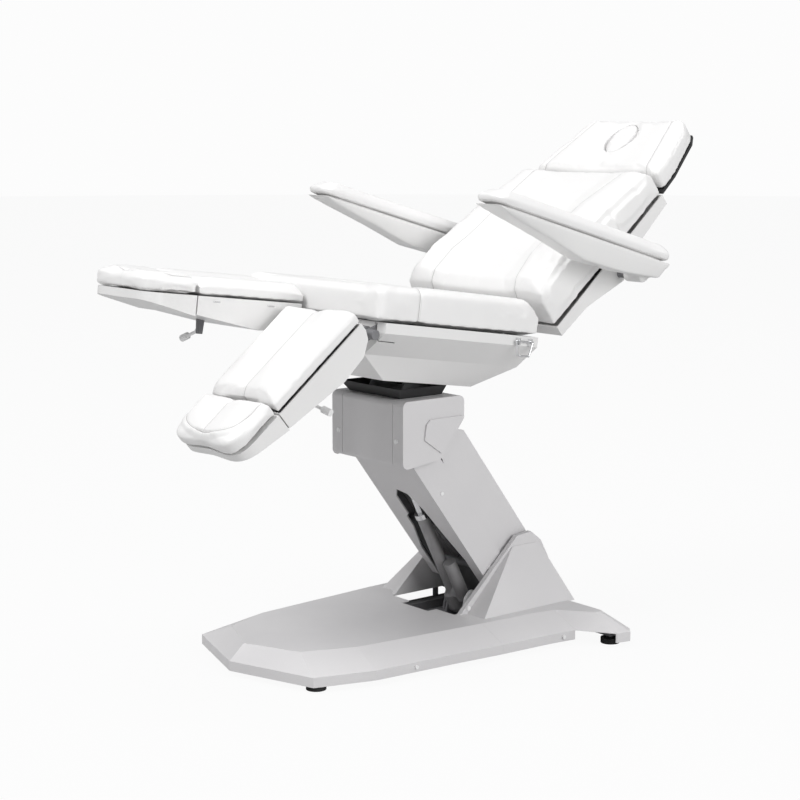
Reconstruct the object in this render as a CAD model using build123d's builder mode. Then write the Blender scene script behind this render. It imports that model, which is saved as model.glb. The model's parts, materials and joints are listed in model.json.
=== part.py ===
"""Electric treatment chair with split leg rests: every piece as its own solid, in millimetres.

Frame: +Z up, the leg rests point to -Y, and the origin is on the floor under the middle of the bed.
The y values below count from the seat's swivel axis; ORIGIN_Y is taken off as each piece is written.
Each tilting section is drawn in its own side plane: x runs rearwards along it, y up from it.
"""
from build123d import *
from math import atan2, cos, degrees, hypot, radians, sin
import os

# ---------------------------------------------------------------- driving dimensions
RUN = 0.3                      # running clearance between pieces of different bodies
WALL = 4.0                     # wall of the moulded covers
PIN_FIT = 0.05                 # radial clearance of a pin in its bore
ORIGIN_Y = 97.19               # frame origin, rearwards of the swivel axis, mid-way along the bed

# base
FOOT_H = 14.0
FOOT_R = 25.0
FRONT_FOOT = (215.0, -425.0)
REAR_FOOT = (381.0, 419.0)
COVER_Z = 15.0                 # lower edge of the base covers
EDGE_Z = 40.0                  # top of the upright edge of the base covers
DECK_Z = 78.0                  # top of the raised deck
BASE_SPLIT_Y = 90.0            # seam between front and rear base cover
FRAME_Z = 20.0                 # underside of the welded base frame
RAIL_H = 26.0
CROSS_H = 14.0
RAIL_W = 40.0
RAIL_X = 150.0
BASE_FRONT_PLAN = [(0, -533), (245, -455), (292, -300), (309, -60), (323, BASE_SPLIT_Y)]
DECK_FRONT_PLAN = [(0, -490), (150, -425), (205, -290), (226, -60), (240, BASE_SPLIT_Y)]
BASE_REAR_PLAN = [(332, 250), (342, 330), (436, 390), (444, 430), (420, 452), (330, 446)]
DECK_REAR_PLAN = [(248, 250), (262, 330), (345, 396), (352, 412), (340, 424), (300, 426)]
WELL_HALF = 130.0              # opening that the column stands in
WELL_FRONT = 60.0
WELL_REAR = 420.0
FIN_PROFILE = [(98, 76), (300, 262), (352, 268), (388, 240), (470, 92), (470, 76)]
FIN_W = 84.0                   # foot of the fin, measured outwards from the well

# column: a parallelogram of a front and a rear link
ARM_LEN = 460.0
ARM_ANGLE = 53.0               # above the horizontal, leaning forward
FRONT_PIVOT = (262.0, 128.0)   # lower pivot of the front link (y, z)
PIVOT_STEP = (92.0, 44.0)      # from the front pivots to the rear ones
PIN_R = 8.0
BOSS_R = 17.0
FRONT_HALF = 124.0             # half width of the front column cover
REAR_HALF = 119.0              # half width of the rear column cover, inside the front one
FRONT_FACE = 29.0              # front cover face, in front of the front pivots
REAR_FACE = 58.0               # rear cover face, behind the rear pivots
SEAM_AT = 52.0                 # rear edge of the front cover behind the front pivots
LINK_X = 98.0                  # inner face of the link bars
LINK_T = 8.0
CHEEK_X = 84.0                 # inner face of the cheeks that hold the pivots
CHEEK_T = 8.0

# lift actuator
MOTOR_PIVOT = (222.0, 50.0)
MOTOR_R = 26.0
TUBE_R = 17.0
TUBE_LEN = 300.0
ROD_R = 10.0
ROD_AT = 370.0                 # its upper end, along the front link
EYE_PLAY = 5.0                 # play of the open upper pivot

# head box on top of the column
HEAD_HALF = 148.0
HEAD_PROFILE = [(-98, 488), (-98, 664), (106, 664), (106, 604), (28, 504)]
HEAD_SPLIT = 104.0             # half width of the middle cover
HEAD_SEAM = 1.5
HEAD_ROUND = 16.0
BEARING_R = 62.0
SPINDLE_R = 25.0

# seat
SEAT_O = (0.0, 851.0)
SEAT_PITCH = -8.2
SEAT_HALF = 284.0
SEAT_FRONT = -290.0
TUB_FRONT = -262.0
SEAT_REAR = 240.0
SEAT_THICK = 90.0
RIM_H = 26.0
TUB_DEPTH = 148.0
TUB_WALL = 4.0
TUB_HALF = 140.0
TILT_PIVOT = (20.0, 752.0)
TILT_CHEEK_X = 60.0

# backrest
BACK_HINGE = (299.0, 854.0)
BACK_PITCH = 38.5
BACK_LEN = 535.0
BACK_HALF = 276.0
BACK_TOP_HALF = 248.0
BACK_BOARD = -26.0             # board plane below the hinge axis
GUARD_R = 84.0
HINGE_X = 150.0                # inner face of the backrest hinge brackets

# headrest, in the backrest's own frame
REST_GAP = 12.0
REST_LEN = 242.0
REST_HALF = 240.0
REST_TOP_HALF = 172.0
REST_THICK = 70.0
REST_PAN_H = 8.0
POST_X = 60.0
POST_R = 7.0
POST_Y = -44.0
PLUG_A = 62.0
PLUG_B = 42.0

# leg rests
LEG_BRACKETS = (24.0, 242.0)    # where the hinge tube is held
LEG_EYES = ((44.0, 60.0), (222.0, 238.0))
LEG_HINGE = (-285.0, 860.0)
LEG_PITCH = {"left": -7.2, "right": 39.0}
LEG_INNER = 9.0
LEG_OUTER = 278.0
LEG_REAR = -12.0
LEG_END = -322.0
LEG_BOARD = 52.0               # board plane above the hinge axis
LEG_THICK = 53.0
LEG_PAN_FRONT = 46.0           # depth of the leg pan at its front end
LEG_PAN_REAR = 74.0
FOOT_GAP = 3.0
FOOT_TIP = -465.0
GLIDE_R = 8.0
GLIDE_X = (85.0, 205.0)
GLIDE_Y = 32.0
HINGE_TUBE_R = 12.0

# armrests, drawn from their own pivot
ARM_PIVOT = (560.0, 962.0)
ARM_PITCH = -15.9
ARM_X = 345.0
ARM_W = 88.0
ARM_SHELL = [(-600, 44), (-533, 29), (-394, 8), (-255, -17), (-109, -14), (24, 0), (40, 30), (44, 44)]
ARM_SEAM = 44.0
ARM_PAD_H = 42.0
ARM_FRONT = -604.0
ARM_REAR = 50.0

os.makedirs("parts", exist_ok=True)
SIDES = {"left": -1, "right": 1}


# ---------------------------------------------------------------- helpers
def side_plane(origin=(0.0, 0.0), pitch=0.0, x=0.0):
    """Side view plane at x: its x axis runs rearwards at the pitch, its y axis up from it."""
    a = radians(pitch)
    return Plane(origin=(x, origin[0], origin[1]), x_dir=(0, cos(a), sin(a)), z_dir=(1, 0, 0))


def top_plane(origin, pitch=0.0, height=0.0):
    """Plan view plane of a pitched section, at a height above its origin."""
    a = radians(pitch)
    up = Vector(0, -sin(a), cos(a))
    return Plane(origin=Vector(0, *origin) + up * height, x_dir=(1, 0, 0), z_dir=up)


def world(origin, pitch, point):
    """World (y, z) of a point given in a pitched section's own frame."""
    a = radians(pitch)
    return (origin[0] + point[0] * cos(a) - point[1] * sin(a),
            origin[1] + point[0] * sin(a) + point[1] * cos(a))


def slab(plane, points, x0, x1, mode=Mode.ADD, soften=0.0):
    """A side-view outline between two x values, its outline corners rounded by soften."""
    with BuildSketch(plane.offset(x0)) as outline:
        Polygon(*points, align=None)
        if soften:
            fillet(outline.vertices(), soften)
    extrude(outline.sketch, amount=x1 - x0, mode=mode)


def plan(plane, points, amount, mode=Mode.ADD, soften=0.0):
    """A plan-view outline raised by an amount."""
    with BuildSketch(plane) as outline:
        Polygon(*points, align=None)
        if soften:
            fillet(outline.vertices(), soften)
    extrude(outline.sketch, amount=amount, mode=mode)


def levels(plane, steps, mode=Mode.ADD):
    """Straight-sided lofts through (height, outline) steps above a plane."""
    for (h0, a), (h1, b) in zip(steps, steps[1:]):
        with BuildSketch(plane.offset(h0)) as low:
            Polygon(*a, align=None)
        with BuildSketch(plane.offset(h1)) as high:
            Polygon(*b, align=None)
        loft([low.sketch, high.sketch], ruled=True, mode=mode)


def rod(start, end, radius, mode=Mode.ADD):
    """A round bar between two points."""
    along = Vector(*end) - Vector(*start)
    with BuildSketch(Plane(origin=start, z_dir=along)) as ring:
        Circle(radius)
    extrude(ring.sketch, amount=along.length, mode=mode)


def bar(centre, radius, x0, x1, mode=Mode.ADD):
    """A round bar along X at a (y, z) centre."""
    rod((x0, *centre), (x1, *centre), radius, mode)


def block(low, high, mode=Mode.ADD):
    """A box from its lowest to its highest corner."""
    size = [h - l for l, h in zip(low, high)]
    with Locations(tuple((h + l) / 2 for l, h in zip(low, high))):
        Box(*size, mode=mode)


def mirrored(points):
    """Close a half outline, given from front to rear at x >= 0, about X = 0."""
    return points + [(-x, y) for x, y in reversed(points) if x > 0.01]


def inset(points, by, keep_y=None):
    """A plan outline taken in by a distance towards X = 0 and the middle, but not at keep_y."""
    mid = (min(y for _, y in points) + max(y for _, y in points)) / 2
    out = []
    for x, y in points:
        nx = 0.0 if abs(x) < by else x - by * (1 if x > 0 else -1)
        ny = y if keep_y is not None and abs(y - keep_y) < 1 else y + by * (1 if y < mid else -1)
        out.append((nx, ny))
    return out


def save(built, name):
    """Label a finished piece and write it as its own node, measured from the frame's origin."""
    built.part.label = name
    placed = built.part.moved(Location((0, -ORIGIN_Y, 0)))
    placed.label = name
    export_step(placed, f"parts/{name}.step")
    print(name, len(built.part.solids()), round(built.part.volume))


def link_point(pivot, along, off=0.0):
    """Point of a column link: along it from its lower pivot, and off towards the rear face."""
    a = radians(ARM_ANGLE)
    return (pivot[0] - along * cos(a) + off * sin(a), pivot[1] + along * sin(a) + off * cos(a))


REAR_PIVOT = (FRONT_PIVOT[0] + PIVOT_STEP[0], FRONT_PIVOT[1] + PIVOT_STEP[1])
FRONT_TOP = link_point(FRONT_PIVOT, ARM_LEN)
REAR_TOP = link_point(REAR_PIVOT, ARM_LEN)
ROD_TOP = link_point(FRONT_PIVOT, ROD_AT)
FLAT = side_plane()

# ---------------------------------------------------------------- base
rail_top = FRAME_Z + RAIL_H
cross_top = FRAME_Z + CROSS_H
with BuildPart() as base_frame:
    for s in SIDES.values():
        block((min(s * (RAIL_X - RAIL_W), s * RAIL_X), FRONT_FOOT[1] + 14, FRAME_Z),
              (max(s * (RAIL_X - RAIL_W), s * RAIL_X), REAR_FOOT[1] - 14, rail_top))
        low_x, high_x = sorted((s * CHEEK_X, s * (CHEEK_X + CHEEK_T)))
        slab(FLAT, [(238, FRAME_Z), (254, 92), (248, 118), (250, 142), (272, 146), (332, 190), (368, 196),
                    (384, 120), (392, FRAME_Z)], low_x, high_x)
        bar(FRONT_PIVOT, PIN_R, *sorted((s * CHEEK_X, s * (LINK_X + LINK_T + 2))))
        bar(REAR_PIVOT, PIN_R, *sorted((s * CHEEK_X, s * (LINK_X + LINK_T + 2))))
        # motor lugs
        low_x, high_x = sorted((s * (MOTOR_R + 2), s * (MOTOR_R + 10)))
        slab(FLAT, [(196, FRAME_Z), (206, MOTOR_PIVOT[1] + 14), (238, MOTOR_PIVOT[1] + 14), (248, FRAME_Z)],
             low_x, high_x)
    for (fx, fy) in (FRONT_FOOT, REAR_FOOT):
        block((-fx - 14, fy - 14, FRAME_Z), (fx + 14, fy + 14, cross_top))
    # posts under the covers
    for s in SIDES.values():
        for px, py in ((130, -195), (142, 256)):
            block((min(s * (px - 5), s * (px + 5)), py - 6, rail_top),
                  (max(s * (px - 5), s * (px + 5)), py + 6, DECK_Z - WALL - RUN))
    block((-RAIL_X, 176, FRAME_Z), (RAIL_X, 256, FRAME_Z + 4))
    block((-RAIL_X, 330, FRAME_Z), (RAIL_X, 392, FRAME_Z + 4))
    bar(MOTOR_PIVOT, PIN_R, -(MOTOR_R + 10), MOTOR_R + 10)
save(base_frame, "base_frame")

with BuildPart() as rubber_feet:
    for s in SIDES.values():
        for fx, fy in (FRONT_FOOT, REAR_FOOT):
            with BuildSketch(Plane.XY) as disc:
                with Locations((s * fx, fy)):
                    Circle(FOOT_R)
            extrude(disc.sketch, amount=FOOT_H)
            with BuildSketch(Plane.XY.offset(FOOT_H)) as stem:
                with Locations((s * fx, fy)):
                    Circle(8)
            extrude(stem.sketch, amount=FRAME_Z - FOOT_H)
save(rubber_feet, "rubber_feet")

with BuildPart() as base_front_cover:
    shell, deck = mirrored(BASE_FRONT_PLAN), mirrored(DECK_FRONT_PLAN)
    levels(Plane.XY, [(COVER_Z, shell), (EDGE_Z, shell), (DECK_Z, deck)])
    levels(Plane.XY, [(COVER_Z, inset(shell, WALL, BASE_SPLIT_Y)),
                      (EDGE_Z - WALL / 2, inset(shell, WALL, BASE_SPLIT_Y)),
                      (DECK_Z - WALL, inset(deck, WALL, BASE_SPLIT_Y))], Mode.SUBTRACT)
    block((-58, WELL_FRONT, DECK_Z - 20), (58, BASE_SPLIT_Y + 1, DECK_Z + 1), Mode.SUBTRACT)
save(base_front_cover, "base_front_cover")

split = BASE_SPLIT_Y + RUN
skirt = mirrored([(BASE_FRONT_PLAN[-1][0], split), *BASE_REAR_PLAN])
deck = mirrored([(DECK_FRONT_PLAN[-1][0], split), *DECK_REAR_PLAN])
with BuildPart() as base_rear_cover:
    levels(Plane.XY, [(COVER_Z, skirt), (EDGE_Z, skirt), (DECK_Z, deck)])
    levels(Plane.XY, [(COVER_Z, inset(skirt, WALL, split)), (EDGE_Z - WALL / 2, inset(skirt, WALL, split)),
                      (DECK_Z - WALL, inset(deck, WALL, split))], Mode.SUBTRACT)
    fins = [(y, z) for y, z in FIN_PROFILE]
    for s in SIDES.values():
        # each fin leans from a broad foot to a narrow crest
        with BuildSketch(side_plane(x=s * WELL_HALF)) as crest:
            Polygon(*fins, align=None)
        extrude(crest.sketch, amount=s * 14)
        with BuildSketch(Plane.XY.offset(DECK_Z - 3)) as fin_foot:
            with Locations((s * (WELL_HALF + FIN_W / 2), 286)):
                Rectangle(FIN_W, 330)
        with BuildSketch(Plane.XY.offset(236)) as fin_top:
            with Locations((s * (WELL_HALF + 8), 330)):
                Rectangle(16, 96)
        loft([fin_foot.sketch, fin_top.sketch], ruled=True)
    block((-WELL_HALF, split - 1, DECK_Z - 40), (WELL_HALF, WELL_REAR, DECK_Z + 1), Mode.SUBTRACT)
save(base_rear_cover, "base_rear_cover")

with BuildPart() as base_screw_caps:
    for s in SIDES.values():
        for fx, fy, fz in ((300.9, -180, 28), (338.1, 290, 28)):
            rod((s * fx, fy, fz), (s * (fx + 4), fy, fz), 5)
        for fy, fz in ((128, 92), (460, 92)):
            rod((s * (WELL_HALF + 14), fy, fz), (s * (WELL_HALF + 17), fy, fz), 6)
save(base_screw_caps, "base_screw_caps")

with BuildPart() as control_box:
    block((-64, -260, FRAME_Z + 6), (64, -120, FRAME_Z + 44))
    block((-RAIL_X + RAIL_W, -200, FRAME_Z), (RAIL_X - RAIL_W, -180, FRAME_Z + 6))
save(control_box, "control_box")

with BuildPart() as cable_conduit:
    # corrugated sleeve beside the lift actuator, from the frame up to the deck
    route = [(70, 238, FRAME_Z + 4 + 1), (70, 236, 70), (72, 222, 100), (76, 196, 112), (80, 176, 96),
             (80, 168, FRAME_Z + 30)]
    with BuildLine() as path:
        FilletPolyline(*route, radius=11)
    with BuildSketch(Plane(origin=route[0], z_dir=Vector(*route[1]) - Vector(*route[0]))) as ring:
        Circle(7)
    sweep(ring.sketch, path=path.line)
save(cable_conduit, "cable_conduit")

# ---------------------------------------------------------------- column links
def link_arms(pivot, x_in, extra=None):
    """Two flat bars with an eye at each end, joined by two cross tubes."""
    top = link_point(pivot, ARM_LEN)
    plane = side_plane(pivot, 180 - ARM_ANGLE)
    for s in SIDES.values():
        low_x, high_x = sorted((s * x_in, s * (x_in + LINK_T)))
        slab(plane, [(0, -BOSS_R), (ARM_LEN, -BOSS_R), (ARM_LEN, BOSS_R), (0, BOSS_R)], low_x, high_x)
        bar(pivot, BOSS_R, low_x, high_x)
        bar(top, BOSS_R, low_x, high_x)
        bar(pivot, PIN_R + PIN_FIT, low_x, high_x, Mode.SUBTRACT)
        bar(top, PIN_R + PIN_FIT, low_x, high_x, Mode.SUBTRACT)


# link frame: x along the link from its lower pivot, y towards the front face
front_plane = side_plane(FRONT_PIVOT, 180 - ARM_ANGLE)
rear_plane = side_plane(REAR_PIVOT, 180 - ARM_ANGLE)

with BuildPart() as front_link:
    link_arms(FRONT_PIVOT, LINK_X)
    for along in (60, 215):
        bar(link_point(FRONT_PIVOT, along), 9, -FRONT_HALF + WALL + RUN, FRONT_HALF - WALL - RUN)
    # lugs for the top of the lift actuator
    bar(ROD_TOP, PIN_R, -LINK_X - 0.01, LINK_X + 0.01)
save(front_link, "front_link")

front_end = 24.0
with BuildPart() as column_front_cover:
    outer = [(-front_end, 8), (15, FRONT_FACE), (ARM_LEN + 6, FRONT_FACE), (ARM_LEN + 34, 8),
             (ARM_LEN + 34, -20), (ARM_LEN - 6, -SEAM_AT), (6, -SEAM_AT), (-front_end, -20)]
    slab(front_plane, outer, -FRONT_HALF, FRONT_HALF, soften=6)
    slab(front_plane, [(-200, FRONT_FACE - WALL), (ARM_LEN + 200, FRONT_FACE - WALL),
                       (ARM_LEN + 200, -200), (-200, -200)], -FRONT_HALF + WALL, FRONT_HALF - WALL,
         Mode.SUBTRACT)
    # opening in the face that the lift actuator shows through
    face = Plane(origin=(0, *link_point(FRONT_PIVOT, 0, -FRONT_FACE - 1)), x_dir=(-1, 0, 0),
                 z_dir=(0, sin(radians(ARM_ANGLE)), cos(radians(ARM_ANGLE))))
    slot = [(-96, -60), (84, -60), (84, 120), (62, 200), (40, 300), (12, 352), (-26, 362), (-50, 330),
            (-50, 262), (-64, 252), (-64, 214), (-96, 120)]
    plan(face, [(-x, y) for x, y in reversed(slot)], WALL + 2, Mode.SUBTRACT)
save(column_front_cover, "column_front_cover")

with BuildPart() as rear_link:
    link_arms(REAR_PIVOT, LINK_X)
    for along in (60, 215):
        bar(link_point(REAR_PIVOT, along), 9, -REAR_HALF + WALL + RUN, REAR_HALF - WALL - RUN)
save(rear_link, "rear_link")

with BuildPart() as column_rear_cover:
    outer = [(-40, 40), (0, 50), (ARM_LEN - 50, 50), (ARM_LEN + 20, 30), (ARM_LEN + 45, -10),
             (ARM_LEN + 14, -REAR_FACE + 20), (ARM_LEN - 10, -REAR_FACE), (-88, -REAR_FACE), (-88, -REAR_FACE + 30)]
    slab(rear_plane, outer, -REAR_HALF, REAR_HALF, soften=6)
    slab(rear_plane, [(-200, 200), (ARM_LEN + 200, 200), (ARM_LEN + 200, -REAR_FACE + WALL),
                      (-200, -REAR_FACE + WALL)], -REAR_HALF + WALL, REAR_HALF - WALL, Mode.SUBTRACT)
save(column_rear_cover, "column_rear_cover")

with BuildPart() as column_screw_caps:
    for s in SIDES.values():
        for along in (70, 350):
            y, z = link_point(FRONT_PIVOT, along, 0)
            rod((s * FRONT_HALF, y, z), (s * (FRONT_HALF + 2.5), y, z), 5)
save(column_screw_caps, "column_screw_caps")

# ---------------------------------------------------------------- lift actuator
reach = hypot(ROD_TOP[0] - MOTOR_PIVOT[0], ROD_TOP[1] - MOTOR_PIVOT[1])
slope = degrees(atan2(ROD_TOP[1] - MOTOR_PIVOT[1], ROD_TOP[0] - MOTOR_PIVOT[0]))


def on_motor(along, off=0.0):
    """World (y, z) of a point along the actuator from its lower pivot."""
    return world(MOTOR_PIVOT, slope, (along, off))


with BuildPart() as lift_motor:
    bar(MOTOR_PIVOT, 17, -MOTOR_R, MOTOR_R)
    rod((0, *on_motor(10)), (0, *on_motor(52)), MOTOR_R)
    rod((0, *on_motor(40)), (0, *on_motor(TUBE_LEN)), TUBE_R)
    rod((38, *on_motor(40)), (38, *on_motor(160)), 18)
    block((0, on_motor(60)[0] - 14, on_motor(60)[1] - 14), (38, on_motor(60)[0] + 14, on_motor(60)[1] + 14))
    rod((0, *on_motor(64)), (0, *on_motor(TUBE_LEN + 1)), ROD_R + PIN_FIT, Mode.SUBTRACT)
    bar(MOTOR_PIVOT, PIN_R + PIN_FIT, -MOTOR_R, MOTOR_R, Mode.SUBTRACT)
save(lift_motor, "lift_motor")

with BuildPart() as lift_collar:
    rod((0, *on_motor(TUBE_LEN)), (0, *on_motor(TUBE_LEN + 14)), TUBE_R + 2)
    rod((0, *on_motor(TUBE_LEN - 1)), (0, *on_motor(TUBE_LEN + 15)), ROD_R + PIN_FIT, Mode.SUBTRACT)
save(lift_collar, "lift_collar")

with BuildPart() as lift_rod:
    rod((0, *on_motor(130)), (0, *on_motor(reach - 4)), ROD_R)
    bar(ROD_TOP, PIN_R + EYE_PLAY + 6, -12, 12)
    bar(ROD_TOP, PIN_R + EYE_PLAY, -12, 12, Mode.SUBTRACT)
save(lift_rod, "lift_rod")

# ---------------------------------------------------------------- head box
HEAD_TOP = HEAD_PROFILE[1][1]
with BuildPart() as head_bracket:
    for s in SIDES.values():
        low_x, high_x = sorted((s * CHEEK_X, s * (CHEEK_X + CHEEK_T)))
        slab(FLAT, [(-70, HEAD_TOP - 24), (FRONT_TOP[0] - BOSS_R, FRONT_TOP[1] + 10),
                    (FRONT_TOP[0] - 14, FRONT_TOP[1] - 14), (FRONT_TOP[0] + 14, FRONT_TOP[1] - 14),
                    (REAR_TOP[0] + 6, REAR_TOP[1] - 16), (REAR_TOP[0] + 14, REAR_TOP[1] + 4),
                    (REAR_TOP[0] - 8, REAR_TOP[1] + 40), (66, HEAD_TOP - 24)], low_x, high_x)
        for pivot in (FRONT_TOP, REAR_TOP):
            bar(pivot, PIN_R, *sorted((s * CHEEK_X, s * (LINK_X + LINK_T + 2))))
    cap_in = HEAD_HALF - WALL - RUN
    block((-cap_in, -80, HEAD_TOP - 24), (cap_in, 92, HEAD_TOP - 16))
    with BuildSketch(Plane.XY.offset(HEAD_TOP - 16)) as housing:
        Circle(BEARING_R)
    extrude(housing.sketch, amount=20)
    with BuildSketch(Plane.XY.offset(HEAD_TOP - 30)) as bore:
        Circle(SPINDLE_R + PIN_FIT)
    extrude(bore.sketch, amount=60, mode=Mode.SUBTRACT)
save(head_bracket, "head_bracket")


def head_shell(x0, x1, closed_low, closed_high):
    """A slice of the hollow head box, open underneath, with an end wall where it is closed."""
    slab(FLAT, HEAD_PROFILE, x0, x1, soften=HEAD_ROUND)
    inner = [(y + (WALL if y < 0 else -WALL), z + (-WALL if z > 660 else 0)) for y, z in HEAD_PROFILE]
    inner[0] = (HEAD_PROFILE[0][0] + WALL, HEAD_PROFILE[0][1] - 40)
    inner[3] = (HEAD_PROFILE[3][0] - WALL, HEAD_PROFILE[3][1] - 40)
    inner[4] = (HEAD_PROFILE[4][0], HEAD_PROFILE[0][1] - 40)
    slab(FLAT, inner, x0 + (WALL if closed_low else -1), x1 - (WALL if closed_high else -1), Mode.SUBTRACT,
         HEAD_ROUND - WALL)


with BuildPart() as head_front_cover:
    head_shell(-HEAD_SPLIT, HEAD_SPLIT, False, False)
    with BuildSketch(Plane.XY.offset(HEAD_TOP - 20)) as hole:
        Circle(BEARING_R + 0.6)
    extrude(hole.sketch, amount=40, mode=Mode.SUBTRACT)
save(head_front_cover, "head_front_cover")

for side, s in SIDES.items():
    with BuildPart() as head_cap:
        low_x, high_x = sorted((s * (HEAD_SPLIT + HEAD_SEAM), s * HEAD_HALF))
        head_shell(low_x, high_x, s < 0, s > 0)
        # raised handhold panel on the side
        slab(FLAT, [(106, 612), (-10, 612), (-24, 600), (-30, 560), (28, 520), (92, 597)],
             *sorted((s * (HEAD_HALF - 1), s * (HEAD_HALF + 5))), soften=4)
    save(head_cap, f"head_{side}_cap")

with BuildPart() as head_screw_caps:
    for s in SIDES.values():
        rod((s * 120, HEAD_PROFILE[0][0], 560), (s * 120, HEAD_PROFILE[0][0] - 3, 560), 6)
save(head_screw_caps, "head_screw_caps")

# ---------------------------------------------------------------- swivel
with BuildPart() as swivel_post:
    with BuildSketch(Plane.XY.offset(HEAD_TOP - 14)) as spindle:
        Circle(SPINDLE_R)
    extrude(spindle.sketch, amount=24)
    block((-70, -56, HEAD_TOP + 4 + RUN), (70, 50, HEAD_TOP + 12))
    for s in SIDES.values():
        low_x, high_x = sorted((s * TILT_CHEEK_X, s * (TILT_CHEEK_X + 8)))
        slab(FLAT, [(-40, HEAD_TOP + 12), (TILT_PIVOT[0] - 18, TILT_PIVOT[1]),
                    (TILT_PIVOT[0] - 12, TILT_PIVOT[1] + 16), (TILT_PIVOT[0] + 12, TILT_PIVOT[1] + 16),
                    (TILT_PIVOT[0] + 18, TILT_PIVOT[1]), (50, HEAD_TOP + 12)], low_x, high_x)
        bar(TILT_PIVOT, PIN_R, *sorted((s * TILT_CHEEK_X, s * (TILT_CHEEK_X + 20))))
save(swivel_post, "swivel_post")

COLLAR_TOP = 692.0
with BuildPart() as swivel_cover:
    base_rect = [(-104, -74), (104, -74), (104, 66), (-104, 66)]
    top_rect = [(-124, -90), (124, -90), (124, 67), (-124, 67)]
    levels(Plane.XY, [(HEAD_TOP + RUN + 1, base_rect), (COLLAR_TOP, top_rect)])
    levels(Plane.XY, [(HEAD_TOP + RUN, inset(base_rect, 3)), (COLLAR_TOP + 1, inset(top_rect, 3))], Mode.SUBTRACT)
    for s in SIDES.values():
        block((min(s * 70, s * 108), -8, HEAD_TOP + 5), (max(s * 70, s * 108), 8, HEAD_TOP + 11))
save(swivel_cover, "swivel_cover")

# ---------------------------------------------------------------- seat
seat_side = side_plane(SEAT_O, SEAT_PITCH)
seat_top = top_plane(SEAT_O, SEAT_PITCH)
tilt = (TILT_PIVOT[0] - SEAT_O[0], TILT_PIVOT[1] - SEAT_O[1])
a = radians(SEAT_PITCH)
tilt_local = (tilt[0] * cos(a) + tilt[1] * sin(a), -tilt[0] * sin(a) + tilt[1] * cos(a))
back_axis = (BACK_HINGE[0] - SEAT_O[0], BACK_HINGE[1] - SEAT_O[1])
back_local = (back_axis[0] * cos(a) + back_axis[1] * sin(a), -back_axis[0] * sin(a) + back_axis[1] * cos(a))
leg_axis = (LEG_HINGE[0] - SEAT_O[0], LEG_HINGE[1] - SEAT_O[1])
leg_local = (leg_axis[0] * cos(a) + leg_axis[1] * sin(a), -leg_axis[0] * sin(a) + leg_axis[1] * cos(a))

with BuildPart() as seat_tub:
    rim = [(-SEAT_HALF, TUB_FRONT), (SEAT_HALF, TUB_FRONT), (SEAT_HALF, SEAT_REAR), (-SEAT_HALF, SEAT_REAR)]
    mid = [(-180, -238), (180, -238), (220, 236), (-220, 236)]
    low = [(-TUB_HALF, -136), (TUB_HALF, -136), (TUB_HALF, 157), (-TUB_HALF, 157)]
    d = -TUB_DEPTH
    levels(seat_top, [(d, low), (-84, mid), (-RIM_H, rim), (-0.5, rim)])
    levels(seat_top, [(d + TUB_WALL, inset(low, TUB_WALL)), (-84, inset(mid, TUB_WALL)),
                      (-RIM_H, inset(rim, TUB_WALL)), (0, inset(rim, TUB_WALL))], Mode.SUBTRACT)
    # opening that the swivel column comes up through
    plan(seat_top.offset(d - 1), [(-130, -116), (130, -116), (130, 104), (-130, 104)], TUB_WALL + 2, Mode.SUBTRACT)
    # slots in the front wall for the leg hinge brackets
    for x in LEG_BRACKETS:
        for s in SIDES.values():
            low_x, high_x = sorted((s * (x - 1), s * (x + 7)))
            slab(seat_side, [(-300, -62), (-200, -62), (-200, -3), (-300, -3)], low_x, high_x, Mode.SUBTRACT)
    # slots in the rear wall for the backrest hinge brackets
    for s in SIDES.values():
        low_x, high_x = sorted((s * (HINGE_X - 1), s * (HINGE_X + 9)))
        slab(seat_side, [(200, -30), (300, -30), (300, 2), (200, 2)], low_x, high_x, Mode.SUBTRACT)
save(seat_tub, "seat_tub")

with BuildPart() as seat_frame:
    for s in SIDES.values():
        low_x, high_x = sorted((s * HINGE_X, s * (HINGE_X + 26)))
        slab(seat_side, [(TUB_FRONT + 6, -24), (SEAT_REAR - 6, -24), (SEAT_REAR - 6, -2), (TUB_FRONT + 6, -2)],
             low_x, high_x)
        # eyes for the seat tilt
        low_x, high_x = sorted((s * 70, s * 78))
        slab(seat_side, [(tilt_local[0] - 40, -2), (tilt_local[0] - 16, tilt_local[1]),
                         (tilt_local[0] - 8, tilt_local[1] - 14), (tilt_local[0] + 8, tilt_local[1] - 14),
                         (tilt_local[0] + 16, tilt_local[1]), (tilt_local[0] + 40, -2)], low_x, high_x)
        bar(TILT_PIVOT, PIN_R + PIN_FIT, low_x, high_x, Mode.SUBTRACT)
        # backrest hinge brackets
        low_x, high_x = sorted((s * HINGE_X, s * (HINGE_X + 8)))
        slab(seat_side, [(180, -24), (SEAT_REAR + 12, -24), (back_local[0] + 8, back_local[1] - 11),
                         (back_local[0] - 12, back_local[1] + 7), (SEAT_REAR + 3, -3), (180, -3)], low_x, high_x)
        bar(BACK_HINGE, 14, low_x, high_x)
        bar(BACK_HINGE, PIN_R + PIN_FIT, low_x, high_x, Mode.SUBTRACT)
        # brackets of the leg rest hinge tube
        for x in LEG_BRACKETS:
            low_x, high_x = sorted((s * x, s * (x + 6)))
            slab(seat_side, [(-222, -24), (-222, -3), (-248, -3), (leg_local[0], leg_local[1] + 14),
                             (leg_local[0] - 14, leg_local[1]), (leg_local[0], leg_local[1] - 14), (-262, -42)],
                 low_x, high_x)
    for y0, y1 in ((-240, -214), (tilt_local[0] - 13, tilt_local[0] + 13), (200, 226)):
        slab(seat_side, [(y0, -24), (y1, -24), (y1, -2), (y0, -2)],
             -SEAT_HALF + TUB_WALL + RUN, SEAT_HALF - TUB_WALL - RUN)
    bar(LEG_HINGE, HINGE_TUBE_R, -274, 274)
save(seat_frame, "seat_frame")

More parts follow.
